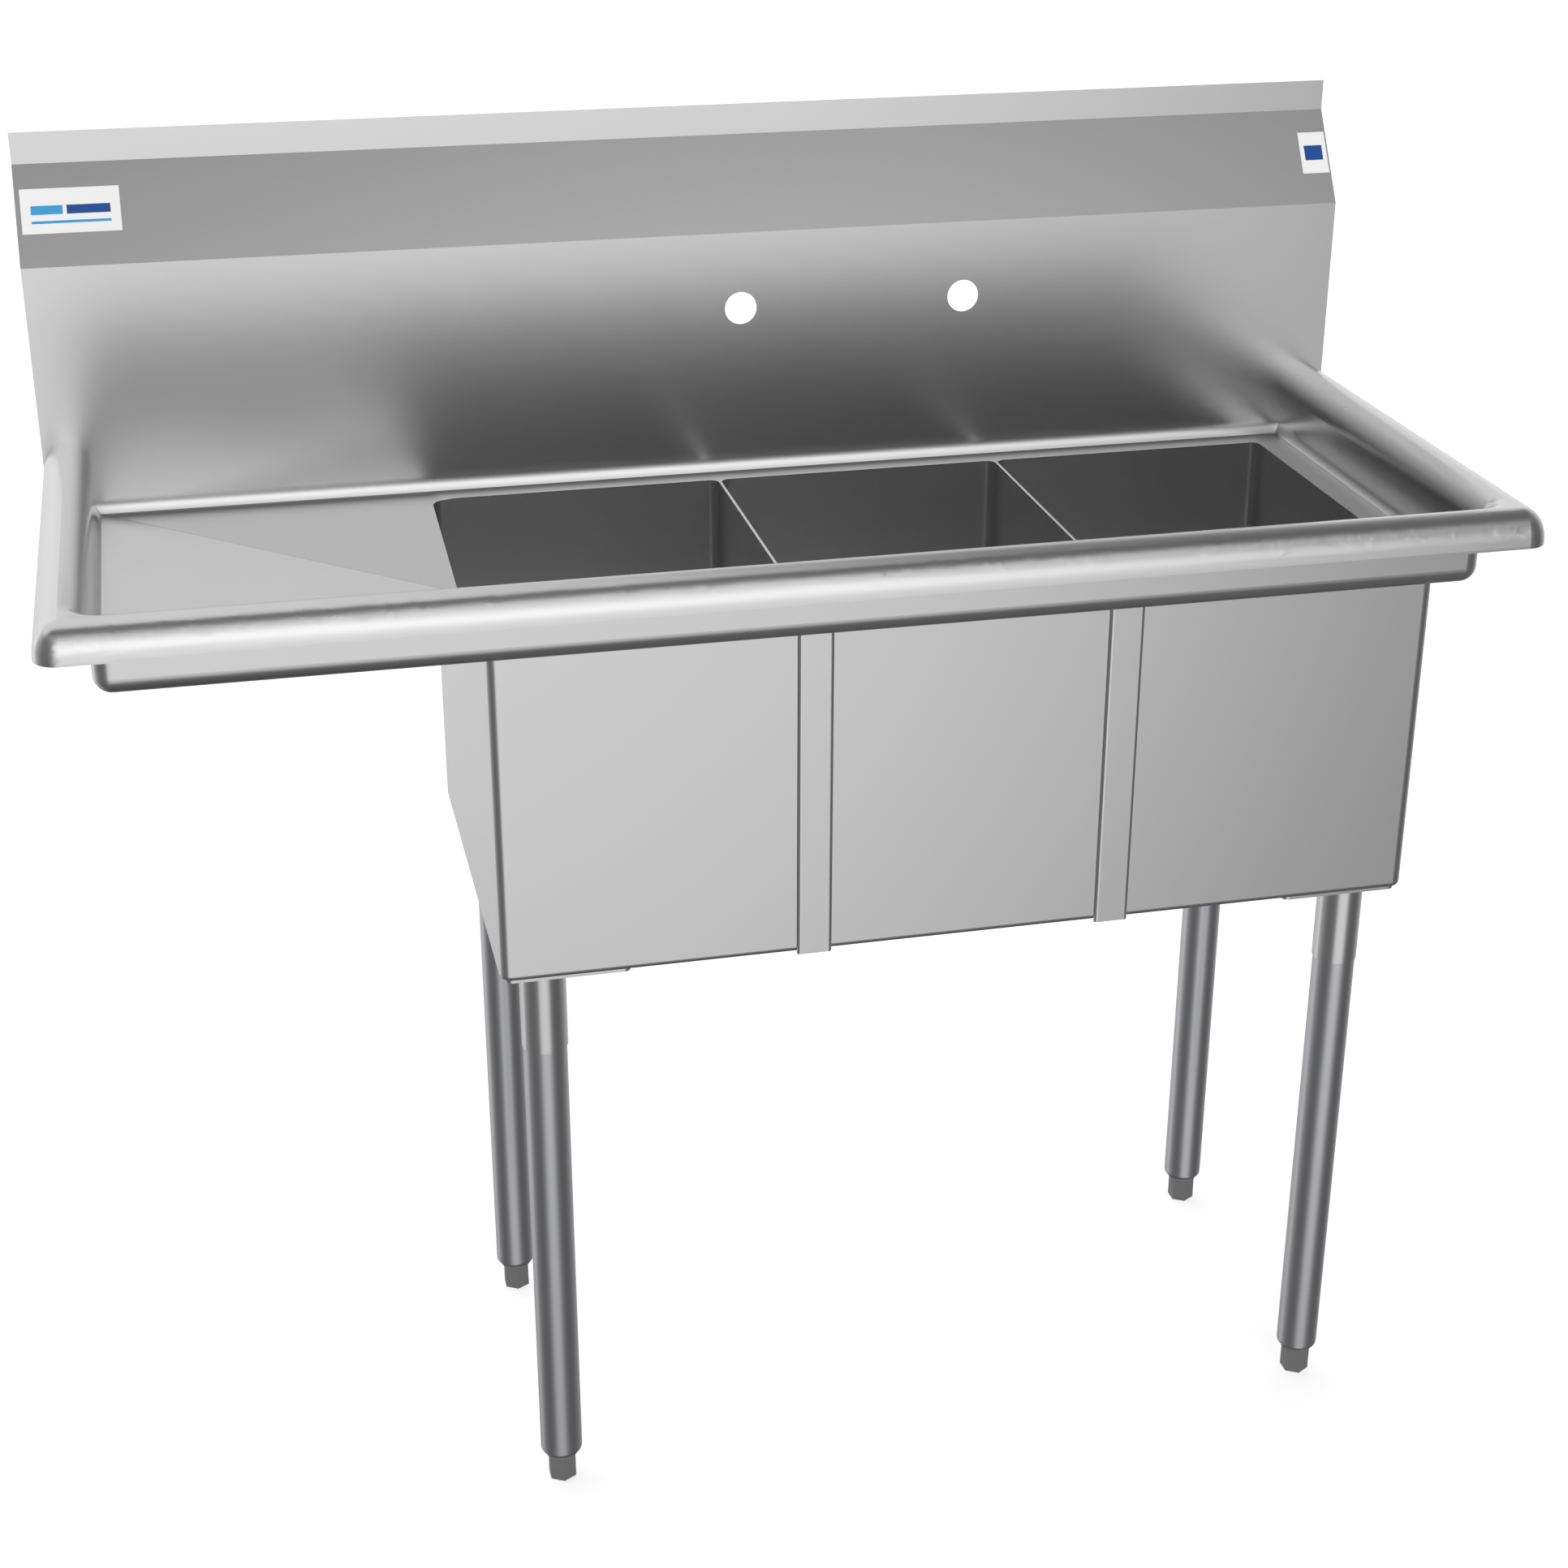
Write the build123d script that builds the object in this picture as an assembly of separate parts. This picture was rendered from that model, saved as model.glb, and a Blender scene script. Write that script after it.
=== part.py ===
from build123d import *
import math
import os

# Three-compartment commercial sink with a left-hand drainboard, in millimetres.
# +X runs to the right along the length, +Y towards the wall, +Z up.
# The origin is the middle of the footprint at floor level.

os.makedirs("parts", exist_ok=True)

# ---- sheet and overall size ----
SHEET = 1.2
HALF_W = 580.5
FRONT_Y = -252.1
PANEL_Y = 202.5
DECK_Z = 798.0

# ---- rolled rim and pan wall, measured inwards from the rim's outer face ----
ROLL_HALF = 19.65
ROLL_RISE = 26.3
RIM_TOP = DECK_Z + 65.3
ROLL_MID = RIM_TOP - ROLL_RISE
LIP_Z = DECK_Z + 37.0
WALL_IN = 2 * ROLL_HALF
WALL_OUT = WALL_IN - SHEET
COVE_R = 13.0
FLOOR_Z = DECK_Z - 3.6
FLANGE = 3.0
COVE_AXIS = WALL_IN + COVE_R
DECK_EDGE = 43.4
BACK_BEND_R = 25.0
BACK_BEND_H = 12.5
BACK_BEND = BACK_BEND_R - math.sqrt(BACK_BEND_R**2 - BACK_BEND_H**2)

# ---- drainboard: three facets that fall to the middle of the first bowl's edge ----
FALL = 19.0
CORNER_FACET = 20.0

# ---- backsplash ----
CREASE_Z = 1011.6
SLOPE_RUN = 48.4
SLOPE_RISE = 75.8
TILE_EDGE = 25.9
FAUCET_HOLE_R = 14.3
FAUCET_SPACING = 203.2
FAUCET_Z = 945.0

# ---- bowls ----
BOWL_W = 254.0
BOWL_BACK = 175.7
BOWL_FRONT = -195.4
BOWL_DEPTH = 280.2
BOWL_MID_X = 126.6
BOWL_CORNER = 8.0
BOWL_FLOOR_R = 3.8
PITCH = BOWL_W + 2 * SHEET
BOWL_FLOOR = DECK_Z - BOWL_DEPTH
BOWL_BOTTOM = BOWL_FLOOR - SHEET
BOWL_MID_Y = (BOWL_BACK + BOWL_FRONT) / 2
BOWL_L = BOWL_BACK - BOWL_FRONT
BOWL_LEFT_X = BOWL_MID_X - PITCH - BOWL_W / 2
BOWLS = {
    "left": BOWL_MID_X - PITCH,
    "middle": BOWL_MID_X,
    "right": BOWL_MID_X + PITCH,
}

# ---- seam strips over the joints between the bowls, set a little to the left of them ----
SEAMS = {"left": -3.3, "right": 249.1}
STRIP_W = 28.9
STRIP_T = 3.2
STRIP_R = 3.0
STRIP_DROP = 0.4

# ---- drains and basket strainers ----
DRAIN_FLANGE_R = 57.15
DRAIN_FLANGE_T = 1.5
DRAIN_CUP_R = 42.5
DRAIN_CUP_OUT = DRAIN_CUP_R + SHEET
DRAIN_HOLE_R = 44.2
DRAIN_CUP_DEPTH = 46.5
DRAIN_FLOOR_T = 1.5
TAIL_R = 24.13
TAIL_BORE_R = 20.0
TAIL_L = 28.0
GASKET_R = 55.0
GASKET_T = 2.0
NUT_R = 51.0
NUT_T = 7.8
LUG_R = 3.4
BASKET_LIP_R = 47.0
BASKET_TOP_R = 40.7
BASKET_LOW_R = 36.0
BASKET_DEPTH = 27.0
BASKET_T = 1.2
BASKET_HOLE_R = 2.6
POST_R = 3.0
KNOB_R = 9.0
STOPPER_R = 30.0
STOPPER_T = 4.0

# ---- legs and feet ----
LEG_INSET = 38.1
LEG_R = 18.1
LEG_WALL = 1.2
LEG_END_Z = 28.0
LEG_TOP_GAP = 2.0
LEG_END_R = 4.5
PLATE = 101.6
PLATE_T = 3.0
PLATE_INSET = 4.5
PLATE_CORNER = 6.0
SOCKET_R = 19.05
SOCKET_L = 76.2
SCREW_R = 4.0
SCREW_HEAD_R = 6.2
SCREW_HEAD_T = 4.5
SCREW_RISE = 20.0
INSERT_NECK_R = 13.6
INSERT_COLLAR_R = 14.2
INSERT_Z = 33.0
INSERT_TOP = 52.0
STEM_R = 6.35
STEM_BORE_R = 6.42
STEM_TOP = 76.0
STEM_LOW = 6.0
HEX_R = 12.82
HEX_TOP = 24.0
HEX_BORE_R = 6.41
HEX_BORE_Z = 5.8

BOWL_OUT_LEFT = BOWLS["left"] - PITCH / 2
BOWL_OUT_RIGHT = BOWLS["right"] + PITCH / 2
BOWL_OUT_FRONT = BOWL_FRONT - SHEET
BOWL_OUT_BACK = BOWL_BACK + SHEET

# corner name -> (outer X face, outer Y face, direction inwards in X, in Y)
CORNERS = {
    "front_left": (BOWL_OUT_LEFT, BOWL_OUT_FRONT, 1, 1),
    "front_right": (BOWL_OUT_RIGHT, BOWL_OUT_FRONT, -1, 1),
    "back_left": (BOWL_OUT_LEFT, BOWL_OUT_BACK, 1, -1),
    "back_right": (BOWL_OUT_RIGHT, BOWL_OUT_BACK, -1, -1),
}

# ---- labels ----
LABEL_T = 0.2
LABEL_LOW = 29.1
LABEL_HIGH = 68.0
LABELS = {
    "left": (-HALF_W + 4.2, -HALF_W + 84.5),
    "right": (HALF_W - 27.1, HALF_W - 1.6),
}


def save(name, shape):
    """Write one node as its own STEP file."""
    shape = shape.clean()
    export_step(shape, os.path.join("parts", name + ".step"))


def span(x0, x1, y0, y1, z0, z1):
    """A box given by its limits."""
    box = Box(x1 - x0, y1 - y0, z1 - z0)
    return Pos((x0 + x1) / 2, (y0 + y1) / 2, (z0 + z1) / 2) * box


def ring(r_in, r_out, z0, z1):
    """A flat ring about Z."""
    wall = Cylinder(r_out, z1 - z0) - Cylinder(r_in, z1 - z0)
    return Pos(0, 0, (z0 + z1) / 2) * wall


def disc(r, z0, z1):
    """A solid cylinder about Z."""
    return Pos(0, 0, (z0 + z1) / 2) * Cylinder(r, z1 - z0)


def tray(x0, x1, y0, y1, z0, z1, corner, floor):
    """A block with rounded vertical edges and a rounded bottom edge."""
    block = span(x0, x1, y0, y1, z0, z1)
    block = fillet(block.edges().filter_by(Axis.Z), corner)
    low = block.faces().sort_by(Axis.Z)[0]
    return fillet(low.edges(), floor)


# ================= pan wall and rolled rim =================

def rim_outer():
    """Section of the roll's outer half: X is the inset from the rim's face, Y is height."""
    a = ROLL_HALF
    b = ROLL_RISE
    with BuildSketch() as s:
        with BuildLine():
            Line((0, LIP_Z), (0, ROLL_MID))
            EllipticalCenterArc((a, ROLL_MID), a, b, start_angle=90, arc_size=90)
            Line((a, RIM_TOP), (a, RIM_TOP - SHEET))
            EllipticalCenterArc((a, ROLL_MID), a - SHEET, b - SHEET, start_angle=90, arc_size=90)
            Line((SHEET, ROLL_MID), (SHEET, LIP_Z))
            Line((SHEET, LIP_Z), (0, LIP_Z))
        make_face()
    return s.sketch


def rim_inner():
    """Section of the roll's inner half, the wall below it and the cove at the wall's foot."""
    a = ROLL_HALF
    b = ROLL_RISE
    cove_z = FLOOR_Z + COVE_R
    out_r = COVE_R + SHEET
    with BuildSketch() as s:
        with BuildLine():
            Line((a, RIM_TOP - SHEET), (a, RIM_TOP))
            EllipticalCenterArc((a, ROLL_MID), a, b, start_angle=0, arc_size=90)
            Line((WALL_IN, ROLL_MID), (WALL_IN, cove_z))
            CenterArc((COVE_AXIS, cove_z), COVE_R, 180, 90)
            Line((COVE_AXIS, FLOOR_Z), (COVE_AXIS, FLOOR_Z - SHEET))
            CenterArc((COVE_AXIS, cove_z), out_r, 180, 90)
            Line((WALL_OUT, cove_z), (WALL_OUT, ROLL_MID))
            EllipticalCenterArc((a, ROLL_MID), a - SHEET, b - SHEET, start_angle=0, arc_size=90)
        make_face()
    return s.sketch


def run_along_y(section, x_face, inward, y0, y1):
    """Extrude a rim section along Y, from the side wall's outer face."""
    plane = Plane(origin=(x_face, y0, 0), x_dir=(inward, 0, 0), z_dir=(0, -inward, 0))
    solid = extrude(plane * section, amount=-inward * (y1 - y0))
    return solid


def run_along_x(section, x0, x1):
    """Extrude a rim section along X, from the front wall's outer face."""
    plane = Plane(origin=(x0, FRONT_Y, 0), x_dir=(0, 1, 0), z_dir=(1, 0, 0))
    return extrude(plane * section, amount=x1 - x0)


def corner_turn(section, x_face, inward, axis_inset):
    """Turn a rim section through a quarter circle at a front corner."""
    plane = Plane(origin=(x_face, FRONT_Y + axis_inset, 0), x_dir=(inward, 0, 0), z_dir=(0, -inward, 0))
    axis = Axis((x_face + inward * axis_inset, FRONT_Y + axis_inset, 0), (0, 0, 1))
    return revolve(plane * section, axis=axis, revolution_arc=inward * 90)


def corner_top(x_face, inward):
    """The flat piece on top of the corner, between the two halves of the roll."""
    far = COVE_AXIS
    block_x = sorted((x_face + inward * ROLL_HALF, x_face + inward * far))
    block = span(*block_x, FRONT_Y + ROLL_HALF, FRONT_Y + far, RIM_TOP - SHEET, RIM_TOP)
    round_off = disc(far - ROLL_HALF, RIM_TOP - 2 * SHEET, RIM_TOP + SHEET)
    return block - Pos(x_face + inward * far, FRONT_Y + far, 0) * round_off


def pan_wall():
    outer = rim_outer()
    inner = rim_inner()
    solid = run_along_x(outer, -HALF_W + ROLL_HALF, HALF_W - ROLL_HALF)
    solid += run_along_x(inner, -HALF_W + COVE_AXIS, HALF_W - COVE_AXIS)
    flange_z = (FLOOR_Z - SHEET, FLOOR_Z)
    low_y = FRONT_Y + COVE_AXIS
    for side in (-1, 1):
        face = side * HALF_W
        solid += run_along_y(outer, face, -side, FRONT_Y + ROLL_HALF, PANEL_Y)
        solid += run_along_y(inner, face, -side, low_y, PANEL_Y)
        solid += corner_turn(outer, face, -side, ROLL_HALF)
        solid += corner_turn(inner, face, -side, COVE_AXIS)
        solid += corner_top(face, -side)
        lip_x = sorted((face - side * COVE_AXIS, face - side * (COVE_AXIS + FLANGE)))
        solid += span(*lip_x, low_y, PANEL_Y, *flange_z)
    solid += span(-HALF_W + COVE_AXIS, HALF_W - COVE_AXIS, low_y, low_y + FLANGE, *flange_z)
    return solid


# ================= deck and drainboard =================

def pan_inside():
    """The space inside the pan wall, down to the foot of the cove."""
    inside = tray(
        -HALF_W + WALL_IN, HALF_W - WALL_IN,
        FRONT_Y + WALL_IN, PANEL_Y + 2 * WALL_IN,
        FLOOR_Z, RIM_TOP, COVE_R, COVE_R,
    )
    below = span(
        -HALF_W + COVE_AXIS, HALF_W - COVE_AXIS,
        FRONT_Y + COVE_AXIS, PANEL_Y,
        FLOOR_Z - 2 * FALL, DECK_Z,
    )
    inside += below
    return inside & span(-HALF_W, HALF_W, FRONT_Y, PANEL_Y, FLOOR_Z - 2 * FALL, RIM_TOP)


EDGE_X = -HALF_W + DECK_EDGE
EDGE_BACK = PANEL_Y - BACK_BEND
EDGE_FRONT = FRONT_Y + DECK_EDGE
LOW = (BOWL_LEFT_X, BOWL_MID_Y, DECK_Z - FALL)
BACK_LEFT = (EDGE_X, EDGE_BACK, DECK_Z)
FRONT_LEFT = (EDGE_X, EDGE_FRONT, DECK_Z)
BACK_BOWL = (BOWL_LEFT_X, EDGE_BACK, DECK_Z)
FRONT_BOWL = (BOWL_LEFT_X, EDGE_FRONT, DECK_Z)


def on_edge(y):
    """Height of the drainboard at the first bowl's left edge."""
    top_y = EDGE_BACK if y > BOWL_MID_Y else EDGE_FRONT
    return DECK_Z - FALL * (top_y - y) / (top_y - BOWL_MID_Y)


BACK_TURN = BOWL_BACK - BOWL_CORNER
FRONT_TURN = BOWL_FRONT + BOWL_CORNER
FACETS = (
    (BACK_LEFT, FRONT_LEFT, LOW),
    (BACK_LEFT, LOW, BACK_BOWL),
    (FRONT_LEFT, FRONT_BOWL, LOW),
    (
        BACK_BOWL,
        (BOWL_LEFT_X, BACK_TURN, on_edge(BACK_TURN)),
        (BOWL_LEFT_X + CORNER_FACET, BOWL_BACK, DECK_Z),
    ),
    (
        FRONT_BOWL,
        (BOWL_LEFT_X + CORNER_FACET, BOWL_FRONT, DECK_Z),
        (BOWL_LEFT_X, FRONT_TURN, on_edge(FRONT_TURN)),
    ),
)


def prism(points, lift, height):
    """A vertical prism on a sloping triangle, its base lifted off the triangle."""
    base = [(x, y, z + lift) for x, y, z in points]
    face = make_face(Polyline(*base, close=True))
    return extrude(face, amount=height, dir=(0, 0, 1))


def bowl_opening(x):
    block = span(
        x - BOWL_W / 2, x + BOWL_W / 2, BOWL_FRONT, BOWL_BACK,
        DECK_Z - 2 * FALL, DECK_Z + SHEET,
    )
    return fillet(block.edges().filter_by(Axis.Z), BOWL_CORNER)


def deck_sheet():
    inside = pan_inside()
    flat = span(BOWL_LEFT_X, HALF_W, FRONT_Y, PANEL_Y, DECK_Z - SHEET, DECK_Z)
    for points in FACETS[3:]:
        level = [(x, y, DECK_Z) for x, y, z in points]
        flat -= prism(level, -2 * SHEET, 3 * SHEET)
    sheet = flat + span(-HALF_W, BOWL_LEFT_X, EDGE_BACK, PANEL_Y, DECK_Z - SHEET, DECK_Z)
    for points in FACETS:
        sheet += prism(points, -SHEET, SHEET)
    sheet = sheet & inside
    for x in BOWLS.values():
        sheet -= bowl_opening(x)
    return sheet


# ================= backsplash =================

def backsplash():
    theta = math.atan2(SLOPE_RUN, SLOPE_RISE)
    shift = SHEET * math.tan(theta / 2)
    slope_top = CREASE_Z + SLOPE_RISE
    top = slope_top + TILE_EDGE
    back_y = PANEL_Y + SLOPE_RUN
    low = FLOOR_Z - SHEET
    outline = (
        (PANEL_Y, low), (PANEL_Y, CREASE_Z), (back_y, slope_top), (back_y, top),
        (back_y + SHEET, top), (back_y + SHEET, slope_top - shift),
        (PANEL_Y + SHEET, CREASE_Z - shift), (PANEL_Y + SHEET, low),
    )
    with BuildSketch(Plane.YZ.offset(-HALF_W)) as s:
        with BuildLine():
            Polyline(*outline, close=True)
        make_face()
    sheet = extrude(s.sketch, amount=2 * HALF_W)
    for side in (-1, 1):
        ends = sorted((side * (HALF_W - WALL_OUT), side * (HALF_W + 1)))
        sheet -= span(*ends, PANEL_Y - 1, PANEL_Y + 2 * SHEET, low - 1, LIP_Z)
        hole = Rot(90, 0, 0) * Cylinder(FAUCET_HOLE_R, 8 * SHEET)
        sheet -= Pos(BOWL_MID_X + side * FAUCET_SPACING / 2, PANEL_Y, FAUCET_Z) * hole
    inner = HALF_W - WALL_IN
    foot = span(-inner, inner, EDGE_BACK, PANEL_Y, DECK_Z, DECK_Z + BACK_BEND_H)
    bend = Rot(0, 90, 0) * Cylinder(BACK_BEND_R, 2 * HALF_W)
    foot -= Pos(0, PANEL_Y - BACK_BEND_R, DECK_Z + BACK_BEND_H) * bend
    return sheet + (foot & pan_inside())


def label(x0, x1):
    """A thin rectangle on the backsplash's sloped return."""
    length = math.hypot(SLOPE_RUN, SLOPE_RISE)
    up = (0, SLOPE_RUN / length, SLOPE_RISE / length)
    out = (0, -up[2], up[1])
    plane = Plane(origin=(0, PANEL_Y, CREASE_Z), x_dir=(1, 0, 0), z_dir=out)
    centre = Pos((x0 + x1) / 2, (LABEL_LOW + LABEL_HIGH) / 2, LABEL_T / 2)
    return plane * centre * Box(x1 - x0, LABEL_HIGH - LABEL_LOW, LABEL_T)


# ================= bowls =================

def bowl(x):
    top = DECK_Z - SHEET
    half = BOWL_W / 2
    outer = tray(
        x - half - SHEET, x + half + SHEET, BOWL_OUT_FRONT, BOWL_OUT_BACK,
        BOWL_BOTTOM, top, BOWL_CORNER + SHEET, BOWL_FLOOR_R + SHEET,
    )
    inner = tray(
        x - half, x + half, BOWL_FRONT, BOWL_BACK,
        BOWL_FLOOR, top + BOWL_CORNER, BOWL_CORNER, BOWL_FLOOR_R,
    )
    shell = outer - inner
    return shell - Pos(x, BOWL_MID_Y, 0) * disc(DRAIN_HOLE_R, BOWL_BOTTOM - 1, BOWL_FLOOR + 1)


def seam_strip(x, y_face, outward, top):
    """A shallow channel that covers the joint between two bowls."""
    low = BOWL_BOTTOM - STRIP_DROP
    y_out = y_face + outward * STRIP_T
    y_lim = sorted((y_face, y_out))
    block = span(x - STRIP_W / 2, x + STRIP_W / 2, *y_lim, low, top)
    block = fillet(block.edges().filter_by(Axis.Z).group_by(Axis.Y)[0 if outward < 0 else -1], STRIP_R)
    hollow_y = sorted((y_face, y_out - outward * SHEET))
    inner = STRIP_W / 2 - SHEET
    hollow = span(x - inner, x + inner, *hollow_y, low - 1, top + 1)
    hollow = fillet(hollow.edges().filter_by(Axis.Z).group_by(Axis.Y)[0 if outward < 0 else -1], STRIP_R - SHEET)
    return block - hollow


# ================= drains =================

def drain_body():
    """Flanged cup with a threaded tail, about Z, in the sink's heights."""
    flange_top = BOWL_FLOOR + DRAIN_FLANGE_T
    cup_floor = BOWL_FLOOR - DRAIN_CUP_DEPTH
    body = ring(DRAIN_CUP_R, DRAIN_FLANGE_R, BOWL_FLOOR, flange_top)
    body += ring(DRAIN_CUP_R, DRAIN_CUP_OUT, cup_floor, flange_top)
    body += ring(TAIL_BORE_R, DRAIN_CUP_OUT, cup_floor - DRAIN_FLOOR_T, cup_floor)
    tail_top = cup_floor - DRAIN_FLOOR_T
    body += ring(TAIL_BORE_R, TAIL_R, tail_top - TAIL_L, tail_top)
    rim = body.edges().filter_by(GeomType.CIRCLE).group_by(Axis.Z)[-1].sort_by(SortBy.RADIUS)[-1]
    return fillet(rim, DRAIN_FLANGE_T * 0.8)


def drain_gasket():
    return ring(DRAIN_CUP_OUT, GASKET_R, BOWL_BOTTOM - GASKET_T, BOWL_BOTTOM)


def drain_nut():
    top = BOWL_BOTTOM - GASKET_T
    nut = disc(NUT_R, top - NUT_T, top)
    for lug in PolarLocations(NUT_R, 8):
        nut += lug * disc(LUG_R, top - NUT_T, top)
    return nut - disc(DRAIN_CUP_OUT, top - NUT_T - 1, top + 1)


def strainer_basket():
    lip_z = BOWL_FLOOR + DRAIN_FLANGE_T
    low = lip_z + BASKET_T - BASKET_DEPTH
    with BuildSketch(Plane.XZ) as s:
        with BuildLine():
            Polyline(
                (0, low), (BASKET_LOW_R, low), (BASKET_TOP_R, lip_z),
                (BASKET_LIP_R, lip_z), (BASKET_LIP_R, lip_z + BASKET_T),
                (BASKET_TOP_R - BASKET_T, lip_z + BASKET_T),
                (BASKET_LOW_R - BASKET_T, low + BASKET_T), (0, low + BASKET_T),
                close=True,
            )
        make_face()
    basket = revolve(s.sketch, axis=Axis.Z)
    hole = disc(BASKET_HOLE_R, low - 1, low + 2 * BASKET_T)
    for radius, count in ((13.0, 8), (21.0, 12), (29.0, 16)):
        for place in PolarLocations(radius, count):
            basket -= place * hole
    return basket - disc(POST_R, low - 1, low + 2 * BASKET_T)


def strainer_post():
    lip_z = BOWL_FLOOR + DRAIN_FLANGE_T
    low = lip_z + BASKET_T - BASKET_DEPTH
    stopper_low = low - 4 - STOPPER_T
    post = disc(POST_R, stopper_low, lip_z + 4)
    knob = disc(KNOB_R, lip_z + 4, lip_z + 12)
    knob = fillet(knob.edges().filter_by(GeomType.CIRCLE), 2.5)
    return post + knob


def strainer_stopper():
    lip_z = BOWL_FLOOR + DRAIN_FLANGE_T
    low = lip_z + BASKET_T - BASKET_DEPTH - 4 - STOPPER_T
    return ring(POST_R, STOPPER_R, low, low + STOPPER_T)


# ================= legs and feet =================

def gusset_plate(x, y, dx, dy):
    xs = sorted((x + dx * PLATE_INSET, x + dx * (PLATE_INSET + PLATE)))
    ys = sorted((y + dy * PLATE_INSET, y + dy * (PLATE_INSET + PLATE)))
    plate = span(*xs, *ys, BOWL_BOTTOM - PLATE_T, BOWL_BOTTOM)
    return fillet(plate.edges().filter_by(Axis.Z), PLATE_CORNER)


SOCKET_TOP = BOWL_BOTTOM - PLATE_T
SOCKET_END = SOCKET_TOP - SOCKET_L
SCREW_Z = SOCKET_END + SCREW_RISE


def leg_socket(dy):
    sleeve = ring(LEG_R, SOCKET_R, SOCKET_END, SOCKET_TOP)
    bore = Rot(90, 0, 0) * Cylinder(SCREW_R, SOCKET_R)
    return sleeve - Pos(0, dy * SOCKET_R, SCREW_Z) * bore


def set_screw(dy):
    shank_l = SOCKET_R + 2 - LEG_R
    shank = Rot(90, 0, 0) * Cylinder(SCREW_R, shank_l)
    head = Rot(90, 0, 0) * extrude(RegularPolygon(SCREW_HEAD_R, 6), SCREW_HEAD_T / 2, both=True)
    screw = Pos(0, dy * (LEG_R + shank_l / 2), SCREW_Z) * shank
    screw += Pos(0, dy * (LEG_R + shank_l + SCREW_HEAD_T / 2), SCREW_Z) * head
    return screw - disc(LEG_R, SCREW_Z - 2 * SCREW_R, SCREW_Z + 2 * SCREW_R)


def leg_tube():
    """Round tube whose foot is spun inwards to a lip."""
    top = SOCKET_TOP - LEG_TOP_GAP
    tube = disc(LEG_R, LEG_END_Z, top)
    tube = fillet(tube.edges().filter_by(GeomType.CIRCLE).sort_by(Axis.Z)[0], LEG_END_R)
    bore = disc(LEG_R - LEG_WALL, LEG_END_Z + LEG_WALL, top + 1)
    bore = fillet(bore.edges().filter_by(GeomType.CIRCLE).sort_by(Axis.Z)[0], LEG_END_R - LEG_WALL)
    return tube - bore - disc(INSERT_NECK_R, LEG_END_Z - 1, LEG_END_Z + 3 * LEG_WALL)


def foot_insert():
    """Threaded plug in the leg's end, with the collar that shows below it."""
    plug = disc(LEG_R - LEG_WALL, INSERT_Z, INSERT_TOP)
    plug += disc(INSERT_NECK_R, LEG_END_Z, INSERT_Z)
    collar = disc(INSERT_COLLAR_R, HEX_TOP, LEG_END_Z)
    collar = chamfer(collar.edges().filter_by(GeomType.CIRCLE).sort_by(Axis.Z)[0], 1.2)
    return plug + collar - disc(STEM_BORE_R, HEX_TOP - 1, INSERT_TOP + 1)


def foot_stem():
    stem = disc(STEM_R, STEM_LOW, STEM_TOP)
    return chamfer(stem.edges().filter_by(GeomType.CIRCLE), 0.8)


def foot_hex():
    foot = extrude(RegularPolygon(HEX_R, 6, rotation=30), HEX_TOP)
    foot = chamfer(foot.faces().sort_by(Axis.Z)[0].edges(), 0.6)
    return foot - disc(HEX_BORE_R, HEX_BORE_Z, HEX_TOP + 1)


# ================= write every node =================

save("pan_wall", pan_wall())
save("deck_sheet", deck_sheet())
save("backsplash", backsplash())

for side, (x0, x1) in LABELS.items():
    save("label_" + side, label(x0, x1))

for side, x in BOWLS.items():
    shell = bowl(x)
    if side == "left":
        for points in FACETS:
            shell -= prism(points, -SHEET, 2 * FALL)
    save("bowl_" + side, shell)
    place = Pos(x, BOWL_MID_Y, 0)
    save("drain_body_" + side, place * drain_body())
    save("drain_gasket_" + side, place * drain_gasket())
    save("drain_nut_" + side, place * drain_nut())
    save("strainer_basket_" + side, place * strainer_basket())
    save("strainer_post_" + side, place * strainer_post())
    save("strainer_stopper_" + side, place * strainer_stopper())

for side, x in SEAMS.items():
    save("front_strip_" + side, seam_strip(x, BOWL_OUT_FRONT, -1, FLOOR_Z - SHEET))
    save("rear_strip_" + side, seam_strip(x, BOWL_OUT_BACK, 1, DECK_Z - SHEET))

for corner, (x, y, dx, dy) in CORNERS.items():
    save("gusset_plate_" + corner, gusset_plate(x, y, dx, dy))
    place = Pos(x + dx * LEG_INSET, y + dy * LEG_INSET, 0)
    save("leg_socket_" + corner, place * leg_socket(dy))
    save("set_screw_" + corner, place * set_screw(dy))
    save("leg_tube_" + corner, place * leg_tube())
    save("foot_insert_" + corner, place * foot_insert())
    save("foot_stem_" + corner, place * foot_stem())
    save("foot_hex_" + corner, place * foot_hex())
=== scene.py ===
import math

import bpy
from mathutils import Matrix, Vector

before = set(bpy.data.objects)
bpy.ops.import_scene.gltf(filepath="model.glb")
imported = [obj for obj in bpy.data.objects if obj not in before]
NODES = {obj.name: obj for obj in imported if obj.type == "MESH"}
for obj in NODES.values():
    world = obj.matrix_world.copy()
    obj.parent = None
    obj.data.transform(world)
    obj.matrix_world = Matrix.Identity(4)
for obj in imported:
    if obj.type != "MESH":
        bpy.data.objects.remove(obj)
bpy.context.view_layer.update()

# Stainless three-compartment sink: finishes, studio light and camera. Metres.

MM = 0.001


# ================= node graph helper =================

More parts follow.
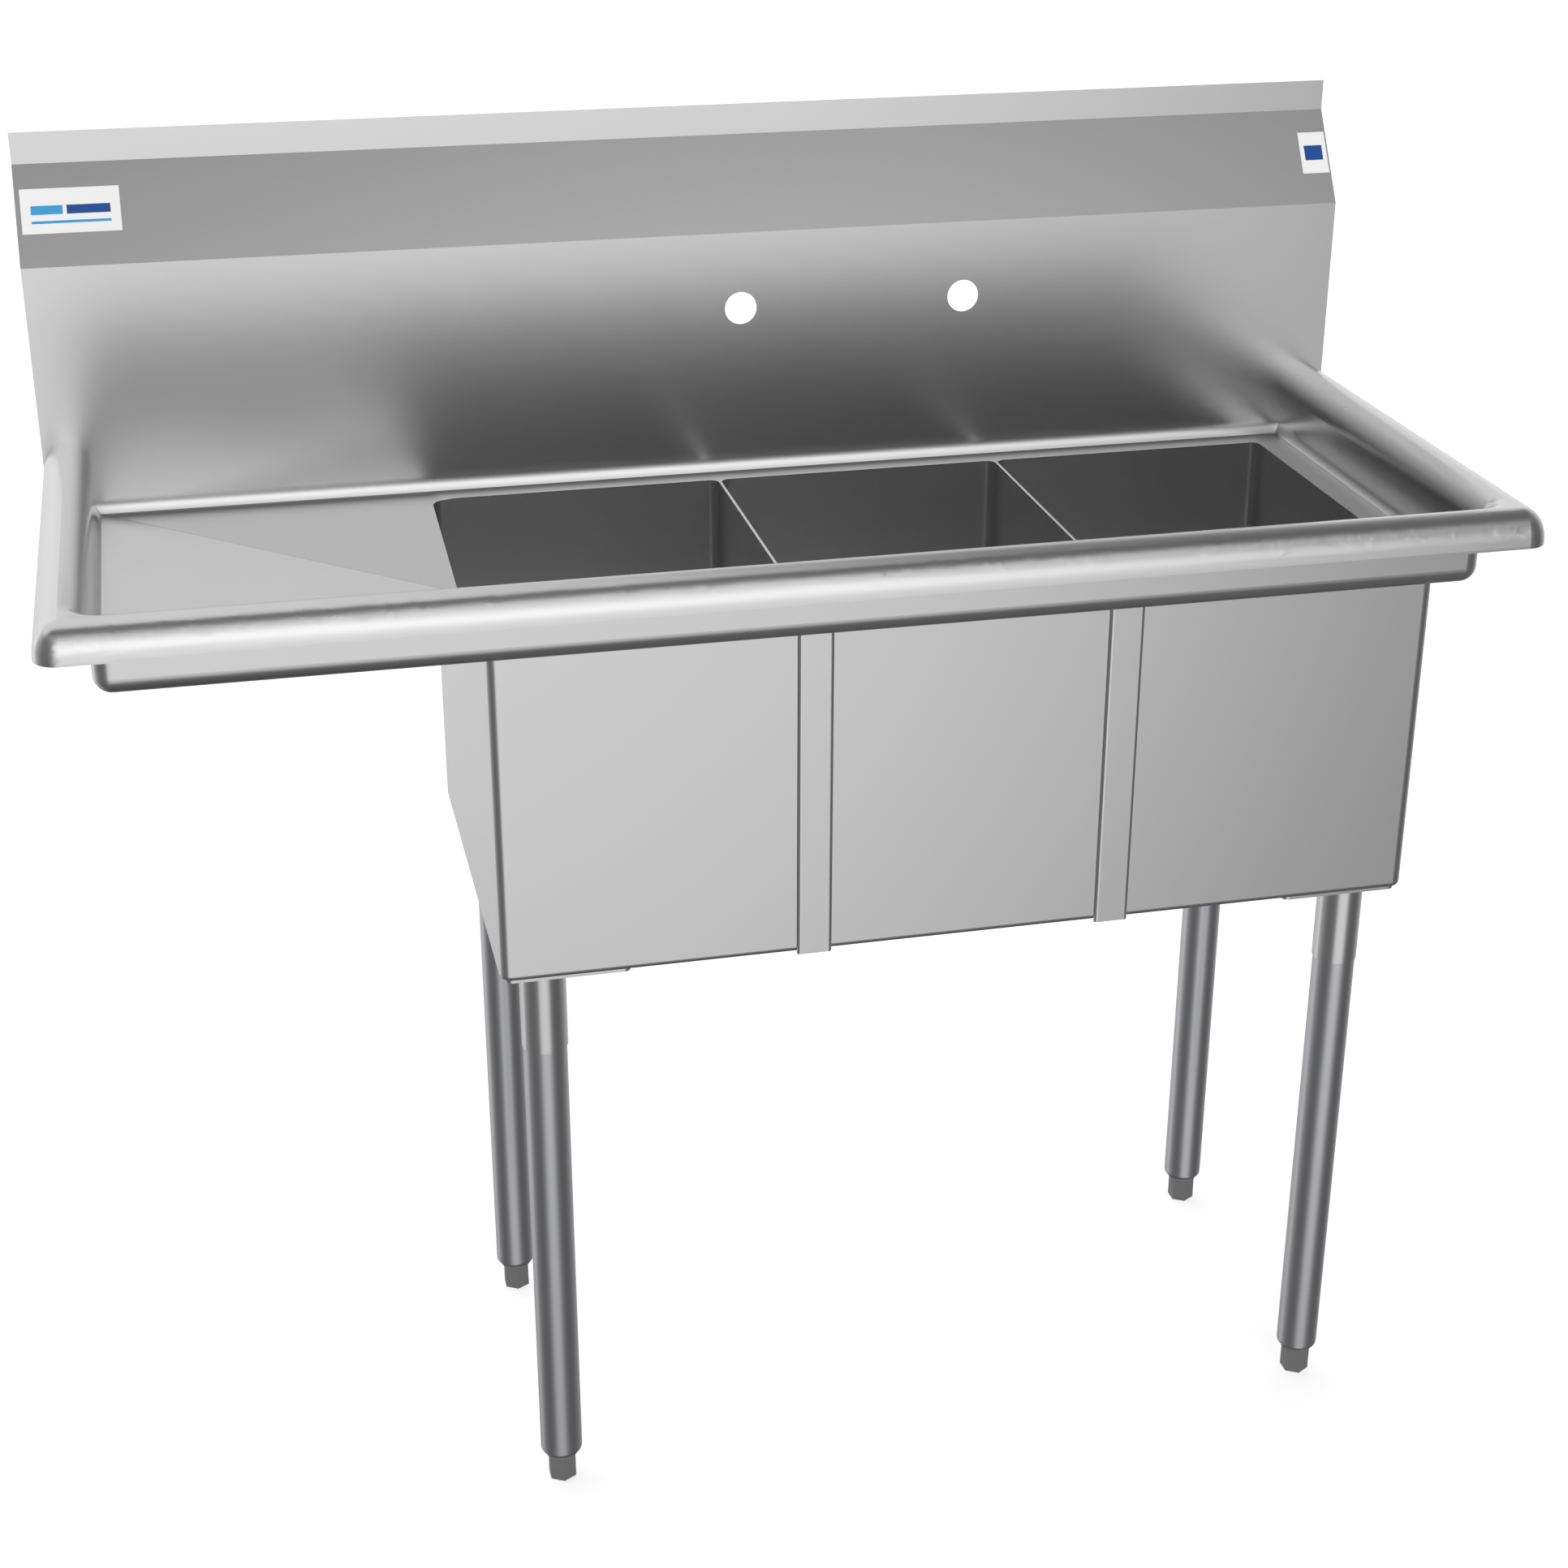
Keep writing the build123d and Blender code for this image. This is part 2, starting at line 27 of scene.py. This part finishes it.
class Graph:
    """Short calls for building a shader or world node tree."""

    def __init__(self, tree):
        self.tree = tree
        tree.nodes.clear()

    def node(self, kind, inputs=None, **settings):
        made = self.tree.nodes.new(kind)
        for key, value in settings.items():
            setattr(made, key, value)
        for key, value in (inputs or {}).items():
            self.feed(made.inputs[key], value)
        return made

    def feed(self, socket, value):
        if isinstance(value, bpy.types.NodeSocket):
            self.tree.links.new(value, socket)
        else:
            socket.default_value = value

    def math(self, operation, a, b=0.0, clamp=False):
        made = self.node("ShaderNodeMath", operation=operation, use_clamp=clamp)
        self.feed(made.inputs[0], a)
        self.feed(made.inputs[1], b)
        return made.outputs[0]

    def add(self, a, b):
        return self.math("ADD", a, b)

    def sub(self, a, b):
        return self.math("SUBTRACT", a, b)

    def mul(self, a, b):
        return self.math("MULTIPLY", a, b)

    def step(self, value, low, high, to_low=0.0, to_high=1.0):
        """A smooth step of value from low to high."""
        made = self.node(
            "ShaderNodeMapRange",
            {"Value": value, "From Min": low, "From Max": high, "To Min": to_low, "To Max": to_high},
            interpolation_type="SMOOTHSTEP",
        )
        return made.outputs["Result"]

    def window(self, value, low, high, soft):
        """1 between low and high, falling to 0 over soft on either side."""
        rise = self.step(value, low - soft, low + soft)
        fall = self.step(value, high - soft, high + soft, 1.0, 0.0)
        return self.mul(rise, fall)

    def mix(self, factor, a, b):
        """A number that goes from a to b."""
        made = self.node("ShaderNodeMix", data_type="FLOAT")
        self.feed(made.inputs["Factor"], factor)
        self.feed(made.inputs["A"], a)
        self.feed(made.inputs["B"], b)
        return made.outputs["Result"]

    def curve(self, value, low, high, top, points):
        """A smooth curve through (value, level) points, for values from low to high."""
        span = self.node("ShaderNodeMapRange", {"Value": value, "From Min": low, "From Max": high})
        made = self.node("ShaderNodeFloatCurve", {"Value": span.outputs["Result"]})
        line = made.mapping.curves[0]
        for x, level in points:
            place = ((x - low) / (high - low), level / top)
            if x in (low, high):
                line.points[0 if x == low else -1].location = place
            else:
                line.points.new(*place)
        made.mapping.update()
        return self.mul(made.outputs["Value"], top)


def new_material(name):
    """An empty material and the graph that builds it."""
    material = bpy.data.materials.new(name)
    material.use_nodes = True
    return material, Graph(material.node_tree)


def principled(g, inputs):
    """Close a material's graph with a Principled surface."""
    shader = g.node("ShaderNodeBsdfPrincipled", inputs)
    out = g.node("ShaderNodeOutputMaterial")
    g.tree.links.new(shader.outputs[0], out.inputs["Surface"])


# ================= studio =================

# level of the big front softbox by elevation in degrees, brightest just above the horizon
FRONT_BOX = (
    (-90, 0.10), (-70, 0.12), (-57, 0.18), (-45, 0.35), (-35, 0.72), (-27, 0.98), (-18, 1.03),
    (-10, 1.05), (3, 1.38), (13, 1.62), (23, 1.48), (33, 1.15), (44, 1.00), (52, 0.62), (60, 0.25),
    (90, 0.22),
)
# level of the wide band behind, by elevation
BACK_BAND = (
    (-90, 0.10), (-55, 0.13), (-42, 0.28), (-32, 0.52), (-20, 0.80), (-5, 0.95), (32, 0.92), (46, 0.30),
    (90, 0.20),
)
# how the front softbox fades sideways, by turn in degrees: near the horizon, and in its upper part
LOW_ACROSS = (
    (-90, 0.10), (-32, 0.15), (-20, 0.92), (-8, 1.0), (12, 1.0), (17, 0.96), (21, 0.78), (25, 0.52),
    (30, 0.26), (35, 0.10), (90, 0.06),
)
HIGH_ACROSS = (
    (-90, 0.12), (-30, 0.40), (-5, 0.70), (6, 0.96), (14, 1.02), (21, 0.98), (28, 0.76), (35, 0.46),
    (46, 0.20), (90, 0.10),
)
# below this rise the softbox leans to one side, by so many degrees of turn for each degree of rise
LEAN_START = -21.0
LOW_LEAN = 0.4
# the rise over which the lower fade gives way to the upper one
FADE_CHANGE = (28, 44)
# the level beside the softbox, and the turn over which it gives way to the back band
SIDE_LEVEL = 0.14
SIDE_TO_BACK = (75, 145)
# a bright ceiling panel behind and to the left: its limits as x/z and y/z of the direction
CEILING_LEVEL = 0.95
CEILING_X = (-1.5, 0.22)
CEILING_Y = (-0.1, 1.3)
CEILING_SOFT = 0.12
CEILING_START = (0.35, 0.6)
LOWEST_SINE = 0.05
# a tall narrow lamp at the back left: its limits and soft edge, in degrees
LEFT_LAMP_LEVEL = 0.35
LEFT_LAMP_TURN = (-137, -117, 6.0)
LEFT_LAMP_RISE = (-60, 20, 10.0)

FLOOR_HALF = 30.0
FLOOR_GLOW = 0.62

CAMERA_PLACE = (-0.4589, -2.0459, 1.5271)
CAMERA_RIGHT = (0.97409, -0.22617, 0.00132)
CAMERA_BACK = (-0.20656, -0.88723, 0.41250)
CAMERA_LENS = 60.97


def studio_world():
    world = bpy.data.worlds.new("studio")
    world.use_nodes = True
    bpy.context.scene.world = world
    g = Graph(world.node_tree)
    direction = g.node("ShaderNodeTexCoord").outputs["Generated"]
    parts = g.node("ShaderNodeSeparateXYZ", {"Vector": direction}).outputs
    x, y, z = parts["X"], parts["Y"], parts["Z"]
    turn = g.math("DEGREES", g.math("ARCTAN2", x, g.mul(y, -1.0)))
    rise = g.math("DEGREES", g.math("ARCSINE", z))
    off_axis = g.math("ABSOLUTE", turn)

    front = g.curve(rise, -90, 90, 2.0, FRONT_BOX)
    lean = g.mul(g.math("MAXIMUM", g.sub(LEAN_START, rise), 0.0), LOW_LEAN)
    low_across = g.curve(g.add(turn, lean), -90, 90, 2.0, LOW_ACROSS)
    high_across = g.curve(turn, -90, 90, 2.0, HIGH_ACROSS)
    across = g.mix(g.step(rise, *FADE_CHANGE), low_across, high_across)
    in_front = g.math("MINIMUM", across, 1.0)
    back = g.curve(rise, -90, 90, 2.0, BACK_BAND)
    in_back = g.step(off_axis, *SIDE_TO_BACK)
    level = g.mix(in_back, SIDE_LEVEL, back)
    level = g.mix(in_front, level, g.mul(front, g.math("MAXIMUM", across, 1.0)))

    above = g.math("MAXIMUM", z, LOWEST_SINE)
    ceiling_x = g.window(g.math("DIVIDE", x, above), *CEILING_X, CEILING_SOFT)
    ceiling_y = g.window(g.math("DIVIDE", y, above), *CEILING_Y, CEILING_SOFT)
    ceiling = g.mul(g.mul(ceiling_x, ceiling_y), g.step(z, *CEILING_START))
    level = g.mix(ceiling, level, CEILING_LEVEL)

    lamp = g.mul(g.window(turn, *LEFT_LAMP_TURN), g.window(rise, *LEFT_LAMP_RISE))
    level = g.add(level, g.mul(lamp, LEFT_LAMP_LEVEL))

    seen = g.node("ShaderNodeLightPath").outputs["Is Camera Ray"]
    strength = g.mix(seen, level, 1.0)
    shade = g.node("ShaderNodeBackground", {"Color": (1, 1, 1, 1), "Strength": strength})
    out = g.node("ShaderNodeOutputWorld")
    g.tree.links.new(shade.outputs[0], out.inputs["Surface"])


def floor():
    far = FLOOR_HALF
    corners = [(-far, -far, 0), (far, -far, 0), (far, far, 0), (-far, far, 0)]
    mesh = bpy.data.meshes.new("floor")
    mesh.from_pydata(corners, [], [(0, 1, 2, 3)])
    plane = bpy.data.objects.new("floor", mesh)
    bpy.context.scene.collection.objects.link(plane)
    material, g = new_material("floor_white")
    principled(
        g,
        {"Base Color": (0.9, 0.9, 0.9, 1), "Roughness": 0.9, "Emission Color": (1, 1, 1, 1),
         "Emission Strength": FLOOR_GLOW},
    )
    mesh.materials.append(material)
    plane.visible_glossy = False


def camera():
    data = bpy.data.cameras.new("camera")
    data.sensor_width = 36.0
    data.lens = CAMERA_LENS
    cam = bpy.data.objects.new("camera", data)
    bpy.context.scene.collection.objects.link(cam)
    right = Vector(CAMERA_RIGHT)
    back = Vector(CAMERA_BACK)
    up = back.cross(right)
    turned = Matrix((right, up, back)).transposed().to_4x4()
    cam.matrix_world = Matrix.Translation(CAMERA_PLACE) @ turned
    bpy.context.scene.camera = cam


# ================= finishes =================

# tone and roughness of the brushed sheet, and the painted light that makes it brighter inside the bowls
STEEL = 0.64
SHEET_ROUGHNESS = 0.26
INSIDE_PAINTED_LIGHT = 1.15
# a face turned to the bowl's middle lies at a negative distance from it; the tones blend around zero
INSIDE_SOFT = 2.0 * MM


def extent(node, axis):
    """The lowest and highest coordinate of a node along one axis."""
    places = [(node.matrix_world @ Vector(corner))[axis] for corner in node.bound_box]
    return min(places), max(places)


def middle_of(node):
    """The middle of a node's box."""
    return tuple(sum(extent(node, axis)) / 2 for axis in range(3))


# the drainboard's creases run from its outer corners to the middle of the first bowl's edge
SHEET = 1.2 * MM
CREASE_LOW_X = extent(NODES["bowl_left"], 0)[0] + SHEET
CREASE_MID_Y = middle_of(NODES["bowl_left"])[1]
CREASE_START = (-537.1 * MM, 199.15 * MM)
CREASE_SLOPE = (CREASE_START[1] - CREASE_MID_Y) / (CREASE_LOW_X - CREASE_START[0])
# the painted shade line along each crease: its width and how dark it is
CREASE_WIDTH = 0.7 * MM
CREASE_PAINTED_SHADE = 0.55

# over this distance from the middle the rim's grain turns to run front to back
RIM_SIDE_X = (0.530, 0.545)
# how far a normal lies along X where a front or back wall's grain gives way to a side wall's
SIDE_WALL = (0.55, 0.8)

# the stickers' plain art
LABEL_WHITE = (0.92, 0.92, 0.92)
LABEL_ROUGHNESS = 0.4
LABEL_EDGE = 0.15 * MM
# the stickers give off painted light, though they are no lamp
LABEL_PAINTED_GLOW = 0.30
DEEP_BLUE = (0.01, 0.07, 0.30)
PALE_BLUE = (0.05, 0.35, 0.70)
# each bar: limits across and up as parts of the sticker, and its colour
LONG_LABEL_BARS = (
    (0.10, 0.42, 0.42, 0.62, PALE_BLUE),
    (0.46, 0.90, 0.42, 0.62, DEEP_BLUE),
    (0.10, 0.90, 0.22, 0.28, PALE_BLUE),
)
SHORT_LABEL_BARS = ((0.16, 0.84, 0.32, 0.68, DEEP_BLUE),)


def grain_noise(g, position, along, fine, coarse=9.0, detail=2.0):
    """Noise drawn out along one axis, as belt brushing leaves it. along is 0, 1 or 2."""
    scale = [fine, fine, fine]
    scale[along] = coarse
    stretched = g.node(
        "ShaderNodeVectorMath", {0: position, 1: tuple(scale)}, operation="MULTIPLY"
    ).outputs[0]
    noise = g.node("ShaderNodeTexNoise", {"Vector": stretched, "Scale": 1.0, "Detail": detail})
    return noise.outputs["Fac"]


def brushed_metal(
    name, tone, roughness, run="x", fine=900.0, contrast=0.018, bump=0.000002, tint=(1, 1, 1), painted_light_and_shade=None
):
    """Brushed sheet. run is the grain's direction: x, y, z, wall (level on every wall) or rim.

    The last argument, if given, returns a factor on the tone from the graph and its coordinates: painted
    light and painted shade.
    """
    material, g = new_material(name)
    coords = g.node("ShaderNodeTexCoord")
    position = coords.outputs["Object"]
    if run in ("x", "y", "z"):
        grain = grain_noise(g, position, "xyz".index(run), fine)
    else:
        grain_x = grain_noise(g, position, 0, fine)
        grain_y = grain_noise(g, position, 1, fine)
        if run == "wall":
            normal = g.node("ShaderNodeSeparateXYZ", {"Vector": coords.outputs["Normal"]}).outputs["X"]
            side = g.step(g.math("ABSOLUTE", normal), *SIDE_WALL)
        else:
            place = g.node("ShaderNodeSeparateXYZ", {"Vector": position}).outputs["X"]
            side = g.step(g.math("ABSOLUTE", place), *RIM_SIDE_X)
        grain = g.mix(side, grain_x, grain_y)
    cloud = g.node("ShaderNodeTexNoise", {"Vector": position, "Scale": 7.0, "Detail": 3.0}).outputs["Fac"]
    streak = g.sub(grain, 0.5)
    mottled = g.sub(cloud, 0.5)
    shade = g.add(1.0, g.add(g.mul(streak, contrast), g.mul(mottled, 0.012)))
    # painted light and painted shade, multiplied into the tone
    if painted_light_and_shade is not None:
        shade = g.mul(shade, painted_light_and_shade(g, coords))
    tinted = g.node(
        "ShaderNodeVectorMath",
        {0: tuple(tone * t for t in tint), "Scale": shade}, operation="SCALE",
    ).outputs[0]
    rough = g.add(roughness, g.add(g.mul(streak, 0.03), g.mul(mottled, 0.02)))
    bumped = g.node("ShaderNodeBump", {"Height": grain, "Strength": 0.5, "Distance": bump})
    principled(
        g, {"Base Color": tinted, "Metallic": 1.0, "Roughness": rough, "Normal": bumped.outputs["Normal"]}
    )
    return material


def facing_in(middle):
    """Painted light: a tone factor that is higher on the faces that look towards the middle of a bowl."""
    def factor(g, coords):
        outward = g.node(
            "ShaderNodeVectorMath", {0: coords.outputs["Object"], 1: middle}, operation="SUBTRACT"
        ).outputs[0]
        facing = g.node(
            "ShaderNodeVectorMath", {0: outward, 1: coords.outputs["Normal"]}, operation="DOT_PRODUCT"
        ).outputs["Value"]
        return g.step(facing, -INSIDE_SOFT, INSIDE_SOFT, INSIDE_PAINTED_LIGHT, 1.0)
    return factor


def painted_crease_shade(g, coords):
    """Painted shade: a thin dark line along each of the drainboard's two creases."""
    parts = g.node("ShaderNodeSeparateXYZ", {"Vector": coords.outputs["Object"]}).outputs
    reach = g.mul(g.sub(CREASE_LOW_X, parts["X"]), CREASE_SLOPE)
    offset = g.math("ABSOLUTE", g.sub(parts["Y"], CREASE_MID_Y))
    apart = g.math("ABSOLUTE", g.sub(offset, reach))
    line = g.step(apart, 0.0, CREASE_WIDTH, CREASE_PAINTED_SHADE, 1.0)
    on_board = g.math("LESS_THAN", parts["X"], CREASE_LOW_X)
    return g.mix(on_board, 1.0, line)


def plain_matt(name, colour, roughness, speck):
    """Rubber or moulded plastic with a faint mottle."""
    material, g = new_material(name)
    position = g.node("ShaderNodeTexCoord").outputs["Object"]
    noise = g.node("ShaderNodeTexNoise", {"Vector": position, "Scale": speck, "Detail": 4.0}).outputs["Fac"]
    shade = g.add(0.9, g.mul(noise, 0.2))
    tinted = g.node("ShaderNodeVectorMath", {0: colour, "Scale": shade}, operation="SCALE").outputs[0]
    bumped = g.node("ShaderNodeBump", {"Height": noise, "Strength": 0.3, "Distance": 0.0001})
    rough = g.add(roughness - 0.05, g.mul(noise, 0.1))
    principled(g, {"Base Color": tinted, "Roughness": rough, "Normal": bumped.outputs["Normal"]})
    return material


def label_art(name, node, bars):
    """A white sticker with plain coloured bars, made brighter by painted light."""
    material, g = new_material(name)
    position = g.node("ShaderNodeTexCoord").outputs["Object"]
    parts = g.node("ShaderNodeSeparateXYZ", {"Vector": position}).outputs
    left, right = extent(node, 0)
    low, high = extent(node, 2)
    noise = g.node("ShaderNodeTexNoise", {"Vector": position, "Scale": 400.0, "Detail": 2.0}).outputs["Fac"]
    shade = g.add(0.98, g.mul(noise, 0.04))
    colour = g.node("ShaderNodeVectorMath", {0: LABEL_WHITE, "Scale": shade}, operation="SCALE").outputs[0]
    for x0, x1, z0, z1, ink in bars:
        across = g.window(
            parts["X"], left + x0 * (right - left), left + x1 * (right - left), LABEL_EDGE
        )
        up = g.window(parts["Z"], low + z0 * (high - low), low + z1 * (high - low), LABEL_EDGE)
        mixed = g.node("ShaderNodeMix", data_type="RGBA")
        g.feed(mixed.inputs["Factor"], g.mul(across, up))
        g.feed(mixed.inputs[6], colour)
        g.feed(mixed.inputs[7], (*ink, 1.0))
        colour = mixed.outputs[2]
    principled(
        g,
        {"Base Color": colour, "Roughness": LABEL_ROUGHNESS, "Emission Color": colour,
         "Emission Strength": LABEL_PAINTED_GLOW},
    )
    return material


def sheet_metal(name, run="x", painted_light_and_shade=None):
    """The sink's own sheet, with the grain's direction and any painted light and shade on its tone."""
    return brushed_metal("stainless_" + name, STEEL, SHEET_ROUGHNESS, run=run, painted_light_and_shade=painted_light_and_shade)


sheet_x = sheet_metal("along")
# the drainboard's sheet carries a painted shade line along each crease
sheet_deck = sheet_metal("deck", painted_light_and_shade=painted_crease_shade)
# the bowls' sheet is made brighter inside with painted light
bowl_finishes = [
    (name, sheet_metal(name, "wall", facing_in(middle_of(NODES[name]))))
    for name in ("bowl_left", "bowl_middle", "bowl_right")
]
sheet_rim = sheet_metal("rim", "rim")
sheet_z = sheet_metal("upright", "z")
drain_steel = brushed_metal("drain_steel", 0.60, 0.22, run="wall", contrast=0.03)
socket_steel = brushed_metal("socket_steel", 0.64, 0.24, run="z", contrast=0.04)
screw_steel = brushed_metal("screw_steel", 0.50, 0.35, run="z")
galvanised = brushed_metal("galvanised", 0.57, 0.34, run="z", contrast=0.05, tint=(0.985, 0.99, 1.03))
brass = brushed_metal("nut_brass", 0.62, 0.35, run="x", tint=(1.0, 0.80, 0.45))
rubber = plain_matt("gasket_rubber", (0.03, 0.03, 0.03), 0.7, 900.0)
foot_grey = plain_matt("foot_grey", (0.16, 0.16, 0.16), 0.55, 700.0)
long_label = label_art("label_left_film", NODES["label_left"], LONG_LABEL_BARS)
short_label = label_art("label_right_film", NODES["label_right"], SHORT_LABEL_BARS)

# the first entry whose text starts a node's name gives its finish
FINISH = (
    ("pan_wall", sheet_rim),
    ("deck_sheet", sheet_deck),
    ("backsplash", sheet_x),
    *bowl_finishes,
    ("front_strip", sheet_z),
    ("rear_strip", sheet_z),
    ("gusset_plate", sheet_x),
    ("drain_body", drain_steel),
    ("strainer_basket", drain_steel),
    ("strainer_post", drain_steel),
    ("strainer_stopper", rubber),
    ("drain_gasket", rubber),
    ("drain_nut", brass),
    ("leg_socket", socket_steel),
    ("set_screw", screw_steel),
    ("leg_tube", galvanised),
    ("foot_insert", foot_grey),
    ("foot_stem", screw_steel),
    ("foot_hex", foot_grey),
    ("label_left", long_label),
    ("label_right", short_label),
)
for name, node in NODES.items():
    finish = next(material for start, material in FINISH if name.startswith(start))
    for place in node.material_slots:
        place.material = finish

studio_world()
floor()
camera()
bpy.context.scene.view_settings.view_transform = "Standard"
bpy.context.scene.cycles.glossy_bounces = 10
